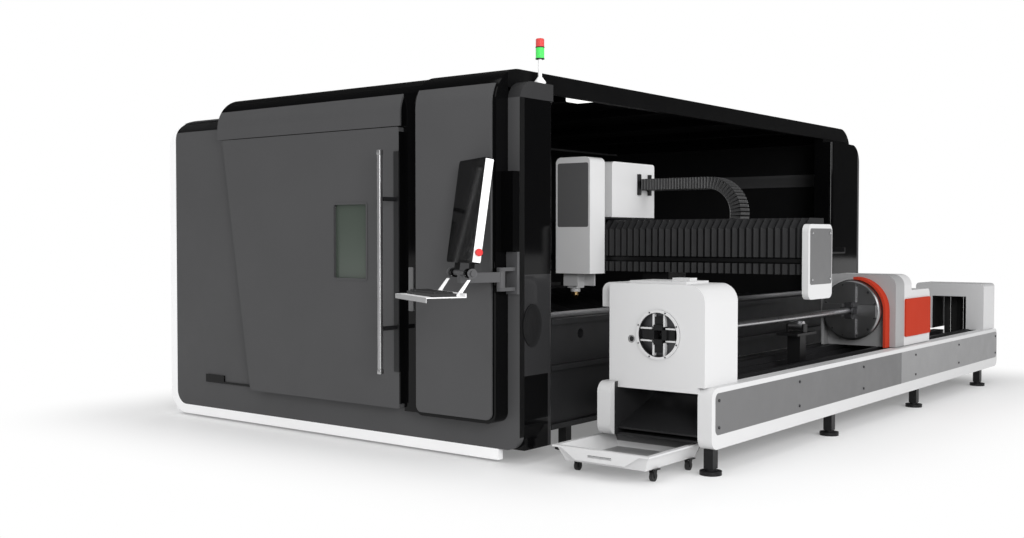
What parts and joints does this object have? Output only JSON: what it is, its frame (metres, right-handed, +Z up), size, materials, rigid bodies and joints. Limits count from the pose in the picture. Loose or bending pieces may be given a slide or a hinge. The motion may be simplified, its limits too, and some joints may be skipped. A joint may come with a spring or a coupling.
{
  "type": "laser cutting machine",
  "caption": "Enclosed gantry laser cutter for sheet with an open side bed that spins and cuts tube between two chucks, a swing console, sliding door and scrap cart.",
  "frame": {"origin": "on the floor, under the middle of the machine's bounding box", "axes": "+X to the right seen from the front, towards the tube bed; +Y away from the front, along the tube; +Z up"},
  "size_m": [4.19, 6.381, 2.405],
  "materials": {
    "front_grey": "satin powder coat",
    "gloss_black": "gloss",
    "white_paint": "satin powder coat",
    "panel_grey": "satin powder coat",
    "frame_black": "satin",
    "red_paint": "satin powder coat",
    "steel": "brushed",
    "dark_steel": "machined, oiled",
    "window_green": "laser glass",
    "screen_black": "gloss",
    "black_plastic": "moulded",
    "bellows_grey": "coated cloth",
    "lamp_green": "translucent",
    "lamp_red": "translucent",
    "red_plastic": "gloss",
    "rubber": "moulded",
    "brass": "turned"
  },
  "bodies": {
    "machine": {"bed_frame": "frame_black", "guide_rails": "steel", "slat_table": "dark_steel", "front_frame": "front_grey", "front_skirt": "white_paint", "left_cover": "front_grey", "back_wall": "front_grey", "roof_cover": "gloss_black", "side_columns": "gloss_black", "door_track": "frame_black", "door_header": "gloss_black", "door_header_panel": "front_grey", "right_cover_body": "gloss_black", "right_cover_panel": "front_grey", "tower_stem": "white_paint", "tower_green": "lamp_green", "tower_red": "lamp_red", "console_mount": "gloss_black", "tube_bed_frame": "frame_black", "side_rims": "white_paint", "outer_side_panel": "panel_grey", "levelling_feet": "frame_black", "front_chuck_housing": "white_paint", "end_portal": "panel_grey"},
    "door": {"door_leaf": "front_grey", "door_edge": "gloss_black", "door_window": "window_green", "handle_mounts": "black_plastic", "door_handle": "steel"},
    "console": {"console_arm": "steel", "keyboard_tray": "white_paint", "keyboard": "black_plastic"},
    "monitor": {"monitor_case": "white_paint", "monitor_screen": "screen_black"},
    "estop": {"estop_button": "red_plastic"},
    "gantry": {"gantry_beam": "frame_black", "beam_end_cover": "white_paint", "beam_end_panel": "panel_grey", "beam_bellows": "bellows_grey"},
    "head": {"head_carriage": "frame_black", "head_cover": "white_paint", "head_panel": "front_grey", "chain_box": "white_paint", "cable_chain": "black_plastic"},
    "cutter": {"cutting_head": "panel_grey", "nozzle": "brass"},
    "front_chuck": {"front_chuck_rotor": "steel", "front_chuck_jaws": "dark_steel"},
    "rear_carriage": {"rear_housing": "white_paint", "rear_front_plate": "panel_grey", "red_guards": "red_paint"},
    "rear_chuck": {"rear_chuck_disc": "steel", "rear_chuck_jaws": "dark_steel", "tube": "steel"},
    "tube_support": {"tube_support_post": "frame_black"},
    "roller": {"support_roller": "steel"},
    "cart": {"cart_tray": "white_paint", "cart_casters": "steel"},
    "front_wheels": {"cart_front_wheels": "rubber"},
    "rear_wheels": {"cart_rear_wheels": "rubber"}
  },
  "joints": [
    {"name": "door_slide", "type": "slide", "parent": "machine", "child": "door", "axis": [-1, 0, 0], "range_m": [0, 0.5]},
    {"name": "console_swing", "type": "hinge", "parent": "machine", "child": "console", "pos_m": [1.052, -2.57447, 1], "axis": [0, 0, 1], "range_deg": [0, 80]},
    {"name": "monitor_tilt", "type": "hinge", "parent": "console", "child": "monitor", "pos_m": [0.97061, -2.81085, 1.085], "axis": [0.8746, -0.4848, 0], "range_deg": [-3, 12]},
    {"name": "estop_press", "type": "slide", "parent": "monitor", "child": "estop", "axis": [-0.8746, 0.4848, 0], "range_m": [0, 0.006], "stiffness_N_per_m": 1500},
    {"name": "gantry_slide", "type": "slide", "parent": "machine", "child": "gantry", "axis": [0, 1, 0], "range_m": [-0.6, 2]},
    {"name": "head_slide", "type": "slide", "parent": "gantry", "child": "head", "axis": [-1, 0, 0], "range_m": [-1.28, 2], "deforming": ["cable_chain"]},
    {"name": "cutter_lift", "type": "slide", "parent": "head", "child": "cutter", "axis": [0, 0, 1], "range_m": [-0.04, 0.12]},
    {"name": "carriage_slide", "type": "slide", "parent": "machine", "child": "rear_carriage", "axis": [0, -1, 0], "range_m": [-1.3, 0.65]},
    {"name": "rear_chuck_spin", "type": "hinge", "parent": "rear_carriage", "child": "rear_chuck", "pos_m": [1.739, 0.65053, 0.742], "axis": [0, 1, 0], "continuous": true},
    {"name": "front_chuck_spin", "type": "hinge", "parent": "machine", "child": "front_chuck", "pos_m": [1.739, -2.05946, 0.742], "axis": [0, 1, 0], "continuous": true},
    {"name": "support_lift", "type": "slide", "parent": "machine", "child": "tube_support", "axis": [0, 0, -1], "range_m": [0, 0.2]},
    {"name": "roller_spin", "type": "hinge", "parent": "tube_support", "child": "roller", "pos_m": [1.739, -0.26947, 0.6877], "axis": [1, 0, 0], "continuous": true},
    {"name": "cart_slide", "type": "slide", "parent": "machine", "child": "cart", "axis": [0, -1, 0], "range_m": [-0.4, 0.6]},
    {"name": "front_wheel_spin", "type": "hinge", "parent": "cart", "child": "front_wheels", "pos_m": [1.635, -2.32946, 0.026], "axis": [1, 0, 0], "continuous": true},
    {"name": "rear_wheel_spin", "type": "hinge", "parent": "cart", "child": "rear_wheels", "pos_m": [1.635, -1.95947, 0.026], "axis": [1, 0, 0], "continuous": true}
  ],
  "couplings": [
    {"joint": "front_chuck_spin", "follows": "rear_chuck_spin", "ratio": 1},
    {"joint": "front_wheel_spin", "follows": "cart_slide", "rad_per_m": 38.462},
    {"joint": "rear_wheel_spin", "follows": "cart_slide", "rad_per_m": 38.462}
  ]
}
